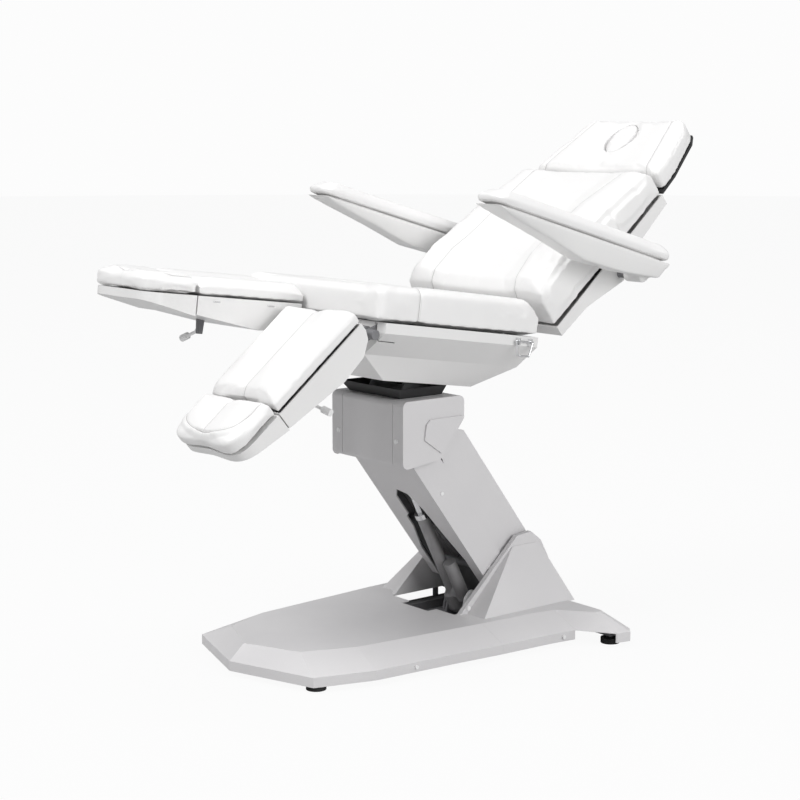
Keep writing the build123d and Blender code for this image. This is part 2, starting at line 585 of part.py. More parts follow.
with BuildPart() as seat_cushion:
    slab(seat_side, [(SEAT_FRONT, 0), (SEAT_REAR, 0), (SEAT_REAR, SEAT_THICK), (SEAT_FRONT, SEAT_THICK)],
         -SEAT_HALF, SEAT_HALF)
    fillet(seat_cushion.edges().filter_by(Axis.X).group_by(Axis.Z)[-1], 24)
    long_edges = [e for e in seat_cushion.edges() if e.length > 400 and abs(e.center().X) > SEAT_HALF - 1]
    top_long = sorted(long_edges, key=lambda e: -e.center().Z)[:2]
    fillet(top_long, 22)
    # the rear end leans away from the backrest
    slab(seat_side, [(SEAT_REAR - 44, SEAT_THICK + 1), (SEAT_REAR + 1, SEAT_THICK - 44), (SEAT_REAR + 1, SEAT_THICK + 1)],
         -SEAT_HALF - 1, SEAT_HALF + 1, Mode.SUBTRACT)
save(seat_cushion, "seat_cushion")

RING_Y0, RING_Y1, RING_Z, RING_DROP = 158.0, 216.0, -14.0, 37.0
for side, s in SIDES.items():
    ring_x = s * (SEAT_HALF + 8)
    p = [world(SEAT_O, SEAT_PITCH, q) for q in ((RING_Y0, RING_Z), (RING_Y1, RING_Z),
                                                (RING_Y1 - 10, RING_Z - RING_DROP), (RING_Y0 + 10, RING_Z - RING_DROP))]
    with BuildPart() as d_ring:
        for i, j in ((0, 1), (1, 2), (2, 3), (3, 0)):
            rod((ring_x, *p[i]), (ring_x, *p[j]), 2.5)
        for q in p[1:]:
            with Locations((ring_x, *q)):
                Sphere(2.5)
        with Locations((ring_x, *p[0])):
            Sphere(2.5)
    save(d_ring, f"d_ring_{side}")

with BuildPart() as ring_lugs:
    for s in SIDES.values():
        low_x, high_x = sorted((s * SEAT_HALF, s * (SEAT_HALF + 12)))
        for y0 in (RING_Y0 + 6, RING_Y1 - 11):
            slab(seat_side, [(y0, -24), (y0 + 5, -24), (y0 + 5, -6), (y0, -6)], low_x, high_x)
        ring_x = s * (SEAT_HALF + 8)
        rod((ring_x, *world(SEAT_O, SEAT_PITCH, (RING_Y0 - 5, RING_Z))),
            (ring_x, *world(SEAT_O, SEAT_PITCH, (RING_Y1 + 5, RING_Z))), 2.5 + RUN, Mode.SUBTRACT)
save(ring_lugs, "ring_lugs")

# curved black guard that closes the gap under the backrest hinge
with BuildPart() as rear_guard:
    with BuildSketch(side_plane(BACK_HINGE, 0, -HINGE_X + 6)) as arc:
        Circle(GUARD_R + 3)
        Circle(GUARD_R, mode=Mode.SUBTRACT)
        with Locations((0, 200 - 30)):
            Rectangle(600, 400, mode=Mode.SUBTRACT)
        with Locations((200 + 14, 0)):
            Rectangle(400, 600, mode=Mode.SUBTRACT)
        with Locations((-200 - 62, 0)):
            Rectangle(400, 600, mode=Mode.SUBTRACT)
    extrude(arc.sketch, amount=2 * HINGE_X - 12)
    slab(seat_side, [(SEAT_REAR, -25), (SEAT_REAR + 4, -25), (SEAT_REAR + 4, -6), (SEAT_REAR, -6)],
         -HINGE_X + 6, HINGE_X - 6)
save(rear_guard, "rear_guard")

# ---------------------------------------------------------------- backrest
back_side = side_plane(BACK_HINGE, BACK_PITCH)
back_top = top_plane(BACK_HINGE, BACK_PITCH)


def on_back(along, height):
    """World (y, z) of a point in the backrest's frame."""
    return world(BACK_HINGE, BACK_PITCH, (along, height))


BACK_PLAN = [(-BACK_HALF, 0), (BACK_HALF, 0), (BACK_TOP_HALF, BACK_LEN), (-BACK_TOP_HALF, BACK_LEN)]
ARM_LOCAL = (271.5, -78.0)
PAN_PROFILE = [(3, BACK_BOARD - RUN), (BACK_LEN, BACK_BOARD - RUN), (BACK_LEN, -58), (400, -66), (330, -92),
               (272, -104), (200, -84), (120, -62), (3, -56)]
PAN_POCKET = [(7, BACK_BOARD + 10), (BACK_LEN - WALL, BACK_BOARD + 10), (BACK_LEN - WALL, -54), (400, -62),
              (330, -88), (272, -100), (200, -80), (120, -58), (7, -52)]
ARM_SHAFT_R = 11.0
SHAFT = on_back(*ARM_LOCAL)

with BuildPart() as pan_pocket:
    slab(back_side, PAN_POCKET, -BACK_HALF, BACK_HALF)
    plan(back_top.offset(-120), [(x - (10 if x > 0 else -10), y) for x, y in BACK_PLAN], 200, Mode.INTERSECT)

with BuildPart() as back_pan:
    slab(back_side, PAN_PROFILE, -BACK_HALF, BACK_HALF)
    plan(back_top.offset(-120), [(x - (6 if x > 0 else -6), y) for x, y in BACK_PLAN], 200, Mode.INTERSECT)
    add(pan_pocket.part, mode=Mode.SUBTRACT)
    bar(SHAFT, ARM_SHAFT_R + 0.02, -300, 300, Mode.SUBTRACT)
    for s in SIDES.values():
        rod((s * POST_X, *on_back(500, POST_Y)), (s * POST_X, *on_back(560, POST_Y)), POST_R + RUN, Mode.SUBTRACT)
        low_x, high_x = sorted((s * (HINGE_X - 16), s * (HINGE_X + 12)))
        slab(back_side, [(-10, -60), (20, -60), (20, 0), (-10, 0)], low_x, high_x, Mode.SUBTRACT)
save(back_pan, "back_pan")

with BuildPart() as back_frame:
    for s in SIDES.values():
        low_x, high_x = sorted((s * (HINGE_X - 30), s * (HINGE_X - 8)))
        slab(back_side, [(30, -50), (BACK_LEN - 15, -50), (BACK_LEN - 15, -28), (30, -28)], low_x, high_x)
        slab(back_side, [(255, -90), (288, -90), (288, -48), (255, -48)], low_x, high_x)
        # hinge eyes
        low_x, high_x = sorted((s * (HINGE_X - 10), s * (HINGE_X - 2)))
        slab(back_side, [(-12, 0), (12, 0), (56, -28), (56, -50), (6, -50)], low_x, high_x)
        bar(BACK_HINGE, 14, low_x, high_x)
        bar(BACK_HINGE, PIN_R, *sorted((s * (HINGE_X - 10), s * (HINGE_X + 10))))
        # headrest post sockets
        rod((s * POST_X, *on_back(385, POST_Y)), (s * POST_X, *on_back(BACK_LEN - 8, POST_Y)), 9.5)
    slab(back_side, [(398, -54), (420, -54), (420, -30), (398, -30)], -HINGE_X + 20, HINGE_X - 20)
    slab(back_side, [(60, -50), (82, -50), (82, -30), (60, -30)], -HINGE_X + 20, HINGE_X - 20)
    bar(SHAFT, ARM_SHAFT_R, -328, 328)
    for s in SIDES.values():
        rod((s * POST_X, *on_back(380, POST_Y)), (s * POST_X, *on_back(BACK_LEN, POST_Y)), POST_R + PIN_FIT,
            Mode.SUBTRACT)
save(back_frame, "back_frame")

with BuildPart() as back_cushion:
    slab(back_side, [(0, BACK_BOARD), (BACK_LEN, BACK_BOARD), (BACK_LEN, 48), (520, 70), (350, 100),
                     (127, 118), (40, 106), (8, 88), (0, 60)], -BACK_HALF, BACK_HALF)
    plan(back_top.offset(-60), BACK_PLAN, 240, Mode.INTERSECT)
    for s in SIDES.values():
        # hinge recesses
        low_x, high_x = sorted((s * (HINGE_X - 16), s * (HINGE_X + 12)))
        slab(back_side, [(-1, -27), (62, -27), (22, 14), (14, 20), (-1, 20)], low_x, high_x, Mode.SUBTRACT)
save(back_cushion, "back_cushion")

# ---------------------------------------------------------------- headrest
r0 = BACK_LEN + REST_GAP
r1 = r0 + REST_LEN
REST_PLAN = [(-REST_HALF, r0), (REST_HALF, r0), (REST_HALF - 8, r0 + 70), (REST_TOP_HALF + 22, r1 - 34),
             (REST_TOP_HALF, r1), (-REST_TOP_HALF, r1), (-REST_TOP_HALF - 22, r1 - 34), (-REST_HALF + 8, r0 + 70)]
REST_AXIS = (r0 + 28, POST_Y)
PLUG_Y = r0 + 150
HINGE_BAR_R = 6.0


def oval(plane, half_x, half_y, centre_y):
    """An oval outline centred on the headrest."""
    with BuildSketch(plane) as ring:
        with Locations((0, centre_y)):
            Ellipse(half_x, half_y)
    return ring.sketch


with BuildPart() as headrest_posts:
    for s in SIDES.values():
        rod((s * POST_X, *on_back(400, POST_Y)), (s * POST_X, *on_back(*REST_AXIS)), POST_R)
    bar(on_back(*REST_AXIS), HINGE_BAR_R, -POST_X, POST_X)
save(headrest_posts, "headrest_posts")

with BuildPart() as headrest_pan:
    plan(back_top.offset(BACK_BOARD - RUN - REST_PAN_H), [(x * 0.97, y) for x, y in REST_PLAN], REST_PAN_H)
    for s in SIDES.values():
        low_x, high_x = sorted((s * 24, s * 36))
        slab(back_side, [(REST_AXIS[0] - 12, BACK_BOARD - REST_PAN_H + 1), (REST_AXIS[0] - 10, REST_AXIS[1] - 6),
                         (REST_AXIS[0], REST_AXIS[1] - 12), (REST_AXIS[0] + 10, REST_AXIS[1] - 6),
                         (REST_AXIS[0] + 12, BACK_BOARD - REST_PAN_H + 1)], low_x, high_x)
    bar(on_back(*REST_AXIS), HINGE_BAR_R + PIN_FIT, -40, 40, Mode.SUBTRACT)
    extrude(oval(back_top.offset(-80), PLUG_B - 12, PLUG_A - 12, PLUG_Y), amount=100, mode=Mode.SUBTRACT)
save(headrest_pan, "headrest_pan")

with BuildPart() as headrest_cushion:
    plan(back_top.offset(BACK_BOARD), REST_PLAN, REST_THICK, soften=18)
    rim_edges = headrest_cushion.faces().sort_by(Axis(origin=(0, 0, 0), direction=back_top.z_dir))[-1].edges()
    fillet(rim_edges, 16)
    extrude(oval(back_top.offset(BACK_BOARD - 5), PLUG_B, PLUG_A, PLUG_Y), amount=REST_THICK + 20, mode=Mode.SUBTRACT)
save(headrest_cushion, "headrest_cushion")

with BuildPart() as headrest_plug:
    extrude(oval(back_top.offset(BACK_BOARD + RUN), PLUG_B - 0.5, PLUG_A - 0.5, PLUG_Y), amount=REST_THICK - 2)
save(headrest_plug, "headrest_plug")

# ---------------------------------------------------------------- armrests
arm_side = side_plane(ARM_PIVOT, ARM_PITCH)
for side, s in SIDES.items():
    with BuildPart() as arm_shell:
        slab(arm_side, ARM_SHELL, s * ARM_X - ARM_W / 2, s * ARM_X + ARM_W / 2)
        bar(SHAFT, 19, *sorted((s * (BACK_HALF + 8), s * ARM_X)))
        bar(SHAFT, ARM_SHAFT_R + PIN_FIT, *sorted((s * (BACK_HALF - 20), s * 329)), Mode.SUBTRACT)
    save(arm_shell, f"arm_shell_{side}")
    with BuildPart() as arm_pad:
        with BuildSketch(top_plane(ARM_PIVOT, ARM_PITCH, ARM_SEAM + RUN)) as pad:
            with Locations((s * ARM_X, (ARM_FRONT + ARM_REAR) / 2)):
                RectangleRounded(ARM_W, ARM_REAR - ARM_FRONT, 30)
        extrude(pad.sketch, amount=ARM_PAD_H)
        fillet(arm_pad.faces().sort_by(Axis.Z)[-1].edges(), 14)
    save(arm_pad, f"arm_pad_{side}")

# ---------------------------------------------------------------- leg rests
for side, s in SIDES.items():
    pitch = LEG_PITCH[side]
    leg_side = side_plane(LEG_HINGE, pitch)
    leg_top = top_plane(LEG_HINGE, pitch)
    x_in, x_out = sorted((s * LEG_INNER, s * LEG_OUTER))
    p_in, p_out = x_in + 3, x_out - 3
    bottom = [(-24, 8), (-60, LEG_BOARD - LEG_PAN_REAR + 6), (-138, LEG_BOARD - LEG_PAN_REAR),
              (LEG_END, LEG_BOARD - LEG_PAN_FRONT)]

    with BuildPart() as leg_pan:
        slab(leg_side, [(LEG_END, LEG_BOARD - RUN), (-15, LEG_BOARD - RUN), (-15, 30), *bottom], p_in, p_out)
        slab(leg_side, [(LEG_END + WALL, LEG_BOARD + 5), (-19, LEG_BOARD + 5), (-19, 31), (-28, 12),
                        (-61, bottom[1][1] + WALL), (-138, bottom[2][1] + WALL), (LEG_END + WALL, bottom[3][1] + WALL)],
             p_in + WALL, p_out - WALL, Mode.SUBTRACT)
        for x0, x1 in LEG_EYES:
            low_x, high_x = sorted((s * (x0 - 2), s * (x1 + 2)))
            slab(leg_side, [(-40, 8), (-10, -20), (0, 60), (-12, 42), (-30, 42)], low_x, high_x, Mode.SUBTRACT)
            slab(leg_side, [(-70, -20), (-10, -20), (-10, 46), (-32, 46)], low_x, high_x, Mode.SUBTRACT)
        for x in GLIDE_X:
            rod((s * x, *world(LEG_HINGE, pitch, (LEG_END - 5, GLIDE_Y))),
                (s * x, *world(LEG_HINGE, pitch, (LEG_END + 10, GLIDE_Y))), GLIDE_R + RUN, Mode.SUBTRACT)
    save(leg_pan, f"leg_pan_{side}")

    with BuildPart() as leg_frame:
        for x0, x1 in LEG_EYES:
            low_x, high_x = sorted((s * x0, s * x1))
            slab(leg_side, [(10, -14), (14, 10), (-30, 44), (-150, 44), (-150, 22), (-44, 22), (-10, -16)], low_x, high_x)
            bar(LEG_HINGE, 19, low_x, high_x)
            bar(LEG_HINGE, HINGE_TUBE_R + 0.08, low_x, high_x, Mode.SUBTRACT)
        low_x, high_x = sorted((s * 30, s * 258))
        slab(leg_side, [(-150, 20), (-128, 20), (-128, 44), (-150, 44)], low_x, high_x)
        for x in GLIDE_X:
            rod((s * x, *world(LEG_HINGE, pitch, (LEG_END + 5, GLIDE_Y))),
                (s * x, *world(LEG_HINGE, pitch, (-140, GLIDE_Y))), 12)
            rod((s * x, *world(LEG_HINGE, pitch, (LEG_END + 4, GLIDE_Y))),
                (s * x, *world(LEG_HINGE, pitch, (-160, GLIDE_Y))), GLIDE_R + PIN_FIT, Mode.SUBTRACT)
    save(leg_frame, f"leg_frame_{side}")

    with BuildPart() as leg_cushion:
        slab(leg_side, [(LEG_END, LEG_BOARD), (LEG_REAR, LEG_BOARD), (LEG_REAR, LEG_BOARD + LEG_THICK),
                        (LEG_END, LEG_BOARD + LEG_THICK)], x_in, x_out)
        top_edges = leg_cushion.faces().sort_by(Axis(origin=(0, 0, 0), direction=leg_top.z_dir))[-1].edges()
        fillet(top_edges, 16)
    save(leg_cushion, f"leg_cushion_{side}")

    # foot section: its free end is rounded in plan
    foot_rear = LEG_END - FOOT_GAP
    mid_x = s * (LEG_INNER + LEG_OUTER) / 2
    half = (LEG_OUTER - LEG_INNER) / 2
    round_len = 58.0

    def foot_outline(plane, shrink):
        """Plan outline of the foot section, taken in by a distance."""
        with BuildSketch(plane) as outline:
            with BuildLine():
                a0 = (mid_x - half + shrink, foot_rear)
                a1 = (mid_x - half + shrink, FOOT_TIP + round_len)
                b1 = (mid_x + half - shrink, FOOT_TIP + round_len)
                b0 = (mid_x + half - shrink, foot_rear)
                Line(a0, a1)
                Spline(a1, (mid_x, FOOT_TIP + shrink), b1, tangents=[(0, -1.4), (0, 1.4)])
                Line(b1, b0)
                Line(b0, a0)
            make_face()
        return outline.sketch

    with BuildPart() as foot_cushion:
        extrude(foot_outline(leg_top.offset(LEG_BOARD), 0), amount=LEG_THICK)
        top_edges = foot_cushion.faces().sort_by(Axis(origin=(0, 0, 0), direction=leg_top.z_dir))[-1].edges()
        fillet(top_edges, 14)
    save(foot_cushion, f"foot_cushion_{side}")

    with BuildPart() as foot_pan:
        extrude(foot_outline(leg_top.offset(-10), 4), amount=LEG_BOARD - RUN + 10)
        slab(leg_side, [(foot_rear + 1, -20), (foot_rear + 1, 2), (FOOT_TIP - 10, 34), (FOOT_TIP - 10, -20)],
             x_in - 5, x_out + 5, Mode.SUBTRACT)
        slab(leg_side, [(foot_rear - 4, 7), (foot_rear - 4, 60), (-400, 60), (-400, 22.6)],
             x_in + 24, x_out - 24, Mode.SUBTRACT)
        for x in GLIDE_X:
            rod((s * x, *world(LEG_HINGE, pitch, (foot_rear + 5, GLIDE_Y))),
                (s * x, *world(LEG_HINGE, pitch, (foot_rear - 10, GLIDE_Y))), GLIDE_R, Mode.SUBTRACT)
    save(foot_pan, f"foot_pan_{side}")

    with BuildPart() as foot_glides:
        for x in GLIDE_X:
            rod((s * x, *world(LEG_HINGE, pitch, (-170, GLIDE_Y))),
                (s * x, *world(LEG_HINGE, pitch, (-392, GLIDE_Y))), GLIDE_R)
    save(foot_glides, f"foot_glides_{side}")

    # two staples on the inner side of the pan, for straps
    with BuildPart() as leg_hooks:
        for along in (-110, -270):
            face_x = s * (LEG_INNER + 3)
            p0, p1 = world(LEG_HINGE, pitch, (along - 8, 40)), world(LEG_HINGE, pitch, (along + 8, 40))
            rod((face_x, *p0), (face_x - s * 5, *p0), 1.5)
            rod((face_x, *p1), (face_x - s * 5, *p1), 1.5)
            rod((face_x - s * 4, *p0), (face_x - s * 4, *p1), 1.4)
    save(leg_hooks, f"leg_hooks_{side}")

    # release lever under the leg rest
    lever = world(LEG_HINGE, pitch, (-204, LEG_BOARD - LEG_PAN_REAR - 18))
    with BuildPart() as lever_bracket:
        low_x, high_x = sorted((s * 172, s * 178))
        slab(leg_side, [(-216, 0), (-192, 0), (-196, -48), (-212, -48)], low_x, high_x)
        slab(leg_side, [(-138, LEG_BOARD - LEG_PAN_REAR - RUN - 0.01), (LEG_END, LEG_BOARD - LEG_PAN_FRONT - RUN),
                        (LEG_END, 60), (-138, 60)], *sorted((s * 160, s * 190)), Mode.SUBTRACT)
    save(lever_bracket, f"lever_bracket_{side}")
    with BuildPart() as leg_lever:
        rod((s * 180, *world(LEG_HINGE, pitch, (-204, -40))), (s * 228, *world(LEG_HINGE, pitch, (-204, -58))), 4)
        rod((s * 226, *world(LEG_HINGE, pitch, (-204, -57))), (s * 250, *world(LEG_HINGE, pitch, (-204, -66))), 9)
        bar(world(LEG_HINGE, pitch, (-204, -40)), 7, *sorted((s * 178.5, s * 184)))
    save(leg_lever, f"leg_lever_{side}")
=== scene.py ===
# %% [markdown]
# # A treatment chair, one lesson in cells
# The chair lies down, sits up, swivels and rises on a slanting column. Its hard pieces come from a CAD
# model, which is loaded as a fixed frame. Everything soft is made here, on top of that frame, and every
# surface gets a finish.

# %% Load the frame
import json
import math

import bmesh
import bpy
import numpy as np
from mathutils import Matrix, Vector
from mathutils.bvhtree import BVHTree


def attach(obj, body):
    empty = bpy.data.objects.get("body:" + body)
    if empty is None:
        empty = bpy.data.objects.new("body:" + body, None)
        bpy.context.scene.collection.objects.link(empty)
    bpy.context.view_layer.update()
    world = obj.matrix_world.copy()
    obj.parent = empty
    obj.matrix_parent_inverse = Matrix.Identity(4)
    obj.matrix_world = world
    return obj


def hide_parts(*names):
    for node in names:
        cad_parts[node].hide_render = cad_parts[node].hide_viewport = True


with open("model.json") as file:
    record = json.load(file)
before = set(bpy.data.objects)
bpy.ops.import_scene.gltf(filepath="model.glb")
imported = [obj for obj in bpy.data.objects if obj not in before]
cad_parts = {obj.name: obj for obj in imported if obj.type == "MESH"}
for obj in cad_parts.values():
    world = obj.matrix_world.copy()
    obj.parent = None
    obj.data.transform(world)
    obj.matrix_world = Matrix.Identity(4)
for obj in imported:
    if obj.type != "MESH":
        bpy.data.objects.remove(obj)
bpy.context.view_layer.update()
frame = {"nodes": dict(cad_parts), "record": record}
NODES = frame["nodes"]
scene = bpy.context.scene

# %% [markdown]
# ## The camera
# The chair is seen from its front right corner, from a little under the headrest's height, through a long
# lens. A long lens keeps the base and the headrest in proportion. The camera looks straight along its own
# back vector, so there is no roll and no shift to undo when another view is asked for.

# %% Camera
VIEW_BACK = Vector((0.76693, -0.62372, 0.15094))
VIEW_FROM = Vector((3.6556, -3.05799, 1.3619))
camera_data = bpy.data.cameras.new("camera")
camera_data.lens, camera_data.sensor_width = 81.97, 36.0
camera = bpy.data.objects.new("camera", camera_data)
camera.location = VIEW_FROM
camera.rotation_mode = "QUATERNION"
camera.rotation_quaternion = (-VIEW_BACK).to_track_quat("-Z", "Y")
scene.collection.objects.link(camera)
scene.camera = camera

# %% [markdown]
# ## Shader maths in plain Python
# A shader is a graph of small nodes. Written by hand, that is many lines for one sum, so a small class wraps
# a socket and gives it the usual operators: `1 - mask` adds one Math node. Anything else, such as a noise or
# a bump, comes from one method that takes the node's type, its settings and the values of its sockets.

# %% A socket that does sums
class Wire:
    """One socket of a graph, and the sums that start from it."""

    def __init__(self, graph, socket):
        self.graph, self.socket = graph, socket

    def _sum(self, operation, *values):
        return self.graph.node("ShaderNodeMath", {"operation": operation}, *values)

    def __add__(self, other): return self._sum("ADD", self, other)
    def __radd__(self, other): return self._sum("ADD", other, self)
    def __sub__(self, other): return self._sum("SUBTRACT", self, other)
    def __rsub__(self, other): return self._sum("SUBTRACT", other, self)
    def __mul__(self, other): return self._sum("MULTIPLY", self, other)
    def __rmul__(self, other): return self._sum("MULTIPLY", other, self)
    def __abs__(self): return self._sum("ABSOLUTE", self)
    def least(self, other): return self._sum("MINIMUM", self, other)
    def most(self, other): return self._sum("MAXIMUM", self, other)
    def sine(self): return self._sum("SINE", self)

    def fade(self, low, high):
        """0 below low, 1 above high, and a soft step between them."""
        return self.graph.node("ShaderNodeMapRange", {"interpolation_type": "SMOOTHSTEP"},
                               Value=self, **{"From Min": low, "From Max": high})


# %% A graph of nodes
class Graph:
    """The nodes of one material or world, with its output in place."""

    def __init__(self, owner, out_kind="ShaderNodeOutputMaterial"):
        owner.use_nodes = True
        self.tree = owner.node_tree
        self.tree.nodes.clear()
        self.surface = self.tree.nodes.new(out_kind).inputs["Surface"]

    def node(self, kind, settings, *values, out=0, **named):
        made = self.tree.nodes.new(kind)
        for key, value in settings.items():
            setattr(made, key, value)
        for key, value in [*enumerate(values), *named.items()]:
            self.feed(made.inputs[key], value)
        return Wire(self, made.outputs[out])

    def feed(self, socket, value):
        if isinstance(value, Wire):
            self.tree.links.new(value.socket, socket)
        else:
            socket.default_value = value


# %% A finish
class Finish(Graph):
    """One material: a Principled skin, and what feeds it."""

    def __init__(self, name):
        self.material = bpy.data.materials.new(name)
        super().__init__(self.material)
        self.skin = self.tree.nodes.new("ShaderNodeBsdfPrincipled")
        self.tree.links.new(self.skin.outputs[0], self.surface)
        self.place = self.node("ShaderNodeTexCoord", {}, out="Object")

    def noise(self, scale, detail=3.0, rough=0.5):
        return self.node("ShaderNodeTexNoise", {}, Vector=self.place,
                         Scale=scale, Detail=detail, Roughness=rough)

    def mixed(self, share, first, second):
        """A colour between two others. The Mix node's colour sockets are its seventh and eighth."""
        made = self.tree.nodes.new("ShaderNodeMix")
        made.data_type = "RGBA"
        self.feed(made.inputs[0], share)
        for index, value in ((6, first), (7, second)):
            self.feed(made.inputs[index], value if isinstance(value, Wire) else (*value, 1.0))
        return Wire(self, made.outputs[2])

    def wear(self, **sockets):
        """Feed the skin's sockets, named with _ for each space."""
        for key, value in sockets.items():
            self.feed(self.skin.inputs[key.replace("_", " ")], value)

    def bumped(self, height, distance, strength=1.0):
        """Raise the surface by a height, given in metres by distance."""
        bump = self.node("ShaderNodeBump", {}, Strength=strength, Distance=distance, Height=height)
        self.feed(self.skin.inputs["Normal"], bump)
        return self


# %% [markdown]
# ## Moulded and painted finishes
# The covers are satin moulded plastic: nearly one colour, with a faint orange-peel skin that breaks up the
# highlights. The frame under them is powder coated, which is rougher and grainier. Chrome is a metal with a
# touch of haze. Each finish has its own grain size, so that no two read as the same flat paint.

# %% Hard finishes
def moulded(name, light, dark, rough, peel=0.00012, scale=260.0, coat=0.0):
    """Satin plastic. peel is the height of its skin in metres, and scale how fine that skin is."""
    finish = Finish(name)
    cloud = finish.noise(3.5, 4.0)
    speck = finish.noise(scale, 2.0)
    finish.wear(Base_Color=finish.mixed(cloud.fade(0.3, 0.7), light, dark),
                Roughness=rough + (finish.noise(14.0, 5.0) - 0.5) * 0.14,
                Coat_Weight=coat, Coat_Roughness=0.15)
    return finish.bumped(speck, peel)


def powder(name, light, dark, rough, metal=0.0):
    """Powder coat and rubber: a fine grain that is both dull and raised."""
    finish = Finish(name)
    grain = finish.noise(900.0, 2.0, 0.6)
    finish.wear(Base_Color=finish.mixed(finish.noise(30.0, 4.0).fade(0.35, 0.7), light, dark),
                Roughness=rough + (grain - 0.5) * 0.2, Metallic=metal)
    return finish.bumped(grain, 0.00025)


def polished():
    """Chrome with a little haze."""
    finish = Finish("polished_chrome")
    haze = finish.noise(45.0, 5.0, 0.6)
    finish.wear(Base_Color=finish.mixed(haze.fade(0.4, 0.7), (0.83, 0.83, 0.84), (0.74, 0.75, 0.76)),
                Metallic=1.0, Roughness=0.1 + haze * 0.12)
    return finish.bumped(haze, 0.00003)


# %% One finish for each material slot
FINISHES = {
    "shell_grey": moulded("grey_moulding", (0.665, 0.655, 0.660), (0.64, 0.63, 0.637), 0.42),
    "shell_white": moulded("white_moulding", (0.80, 0.797, 0.79), (0.775, 0.77, 0.765), 0.33, coat=0.1),
    "frame_steel": powder("powder_coat", (0.20, 0.20, 0.21), (0.16, 0.16, 0.165), 0.55),
    "actuator_grey": powder("actuator_paint", (0.33, 0.325, 0.33), (0.29, 0.285, 0.29), 0.4, metal=0.2),
    "chrome": polished(),
    "black_plastic": moulded("black_moulding", (0.022, 0.022, 0.023), (0.03, 0.03, 0.031), 0.5,
                             peel=0.0002, scale=700.0),
    "cap_white": moulded("cap_moulding", (0.85, 0.85, 0.85), (0.80, 0.80, 0.80), 0.35),
    "rubber": powder("rubber_skin", (0.018, 0.018, 0.018), (0.028, 0.028, 0.028), 0.8),
}
print("hard finishes", len(FINISHES))

# %% [markdown]
# ## Leatherette
# The upholstery is a smooth white coated fabric. Its surface has a fine pebble grain, and it is joined at
# seams: a crease where two panels turn in, with a row of stitches on each side. Each cushion stores its
# signed distance from its seams, and the run along them, as numbers on its points. The shader reads those,
# so that a crease a millimetre wide stays sharp on a mesh that is much coarser. It paints the shade in the
# bottom of each crease as grey, and colours the stitches as grey thread.

# %% Leatherette with its seams
SEAM_FIELDS = ("seam_a", "seam_b", "seam_c")
SEAM_RUN = "seam_run"
CREASE_FROM, CREASE_TO = 0.0003, 0.0018    # metres from the seam where its crease is deepest, and ends
STITCH_ROW = 0.0042                        # metres from the seam to the stitches beside it
STITCH_LENGTH = 0.006                      # metres from one stitch to the next
# grey of the painted shade in a crease's bottom, and of the stitch thread
CREASE_SHADE_AND_THREAD_GREY = (0.42, 0.41, 0.41)


def leatherette():
    """White coated fabric, which draws creases and stitches where a piece has stored its seams. The shade in
    a crease is painted grey.
    """
    finish = Finish("leatherette")
    pebble = finish.node("ShaderNodeTexVoronoi", {"feature": "SMOOTH_F1"}, Vector=finish.place, Scale=620.0)
    soft = finish.noise(9.0, 4.0)
    first, second, third, run = (finish.node("ShaderNodeAttribute", {"attribute_name": name}, out="Fac")
                                 for name in (*SEAM_FIELDS, SEAM_RUN))
    near = abs(first).least(abs(second)).least(abs(third))
    crease = 1 - near.fade(CREASE_FROM, CREASE_TO)
    row = 1 - abs(near - STITCH_ROW).fade(0.0003, 0.0009)
    stitch = row * (run * (2 * math.pi / STITCH_LENGTH)).sine().fade(-0.5, 0.1)
    plain = finish.mixed(soft.fade(0.3, 0.7), (0.842, 0.838, 0.832), (0.822, 0.817, 0.813))
    # painted shade: the crease is coloured up to 0.75 of the way to grey; the stitches get a quarter of it
    # as thread colour
    finish.wear(Base_Color=finish.mixed((crease * 0.75).most(stitch * 0.25), plain, CREASE_SHADE_AND_THREAD_GREY),
                Roughness=0.40 + (soft - 0.5) * 0.12 + crease * 0.2,
                Coat_Weight=0.08, Coat_Roughness=0.3)
    return finish.bumped(pebble * 0.22 - crease * 1.0 + stitch * 0.5, 0.0008, 0.8)


FINISHES["upholstery"] = leatherette()

# %% Dress the hard nodes
SLOT_OF = {row["node"]: row["material_slot"] for row in frame["record"]["subparts"]}


def dress(thing, slot):
    """Put a slot's finish on the object, and leave its mesh as it is."""
    material = FINISHES[slot].material
    if not thing.material_slots:
        thing.data.materials.append(material)
    for holder in thing.material_slots:
        holder.link = "OBJECT"
        holder.material = material


for node_name, node_thing in NODES.items():
    dress(node_thing, SLOT_OF[node_name])
print("dressed", len(NODES), "nodes")

# %% [markdown]
# ## Sections that tilt
# The seat, the back, the leg rests and the armrests each lie at their own pitch. A cushion is easier to
# shape lying flat, so each section gets a small frame of its own: x across, `along` towards the head end,
# and `up` square to the board. Points go in, are worked on flat, and come back out.

# %% A section's own frame
class Section:
    """A frame at a hinge or pivot (y, z in metres), turned by its pitch in degrees."""

    def __init__(self, y, z, pitch):
        a = math.radians(pitch)
        self.origin = np.array((0.0, y, z))
        self.turn = np.array(((1, 0, 0), (0, math.cos(a), math.sin(a)), (0, -math.sin(a), math.cos(a))))

    def flat(self, points):
        return (points - self.origin) @ self.turn.T

    def placed(self, points):
        return points @ self.turn + self.origin


SEAT = Section(-0.09719, 0.851, -8.2)
BACK = Section(0.20181, 0.854, 38.5)
LEG = {"left": Section(-0.38219, 0.860, -7.2), "right": Section(-0.38219, 0.860, 39.0)}
ARM = Section(0.46281, 0.962, -15.9)
SIDE = {"left": -1, "right": 1}

# %% [markdown]
# ## From a plain solid to a cushion
# A foam cushion under a tight cover is a swollen form of its own cutting pattern. The plain CAD solid is
# copied, remeshed into an even grid, drawn in a little, and then blown up as cloth from the inside. The
# travel of each point is capped. The swollen form is stretched back to the solid's width and length and set
# down on its board, and nothing may leave the room that the solid had, apart from a low crown on top.

